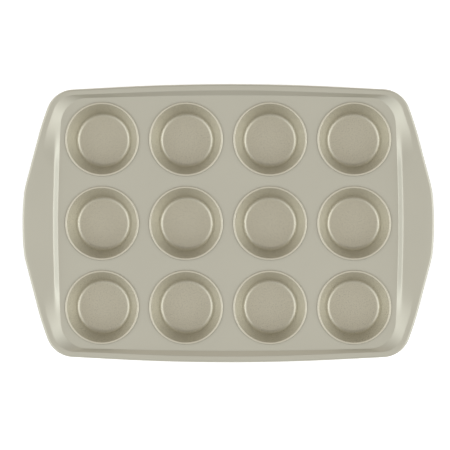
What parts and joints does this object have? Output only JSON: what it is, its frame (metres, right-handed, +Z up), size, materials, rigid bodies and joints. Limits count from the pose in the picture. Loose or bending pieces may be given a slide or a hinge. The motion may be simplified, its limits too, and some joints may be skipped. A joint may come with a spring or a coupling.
{
  "type": "muffin tin",
  "caption": "Muffin tin: shallow pressed frame with tapered round cups seamed into it, a rolled rim and a wide flat handle at each end.",
  "frame": {"origin": "centre of the tin at the level of the cups' undersides, which it stands on", "axes": "+X along the tin, from handle to handle; +Y across it; +Z up, out of the cups"},
  "size_m": [0.4118, 0.2784, 0.0346],
  "materials": {
    "frame_coating": "satin non-stick coating, warm grey",
    "cup_coating": "satin non-stick coating, warm grey",
    "wire_steel": "drawn wire, out of sight"
  },
  "bodies": {
    "root": {"frame": "frame_coating", "rim_wire": "wire_steel", "cup_1_1": "cup_coating", "cup_1_2": "cup_coating", "cup_1_3": "cup_coating", "cup_1_4": "cup_coating", "cup_2_1": "cup_coating", "cup_2_2": "cup_coating", "cup_2_3": "cup_coating", "cup_2_4": "cup_coating", "cup_3_1": "cup_coating", "cup_3_2": "cup_coating", "cup_3_3": "cup_coating", "cup_3_4": "cup_coating"}
  },
  "joints": []
}
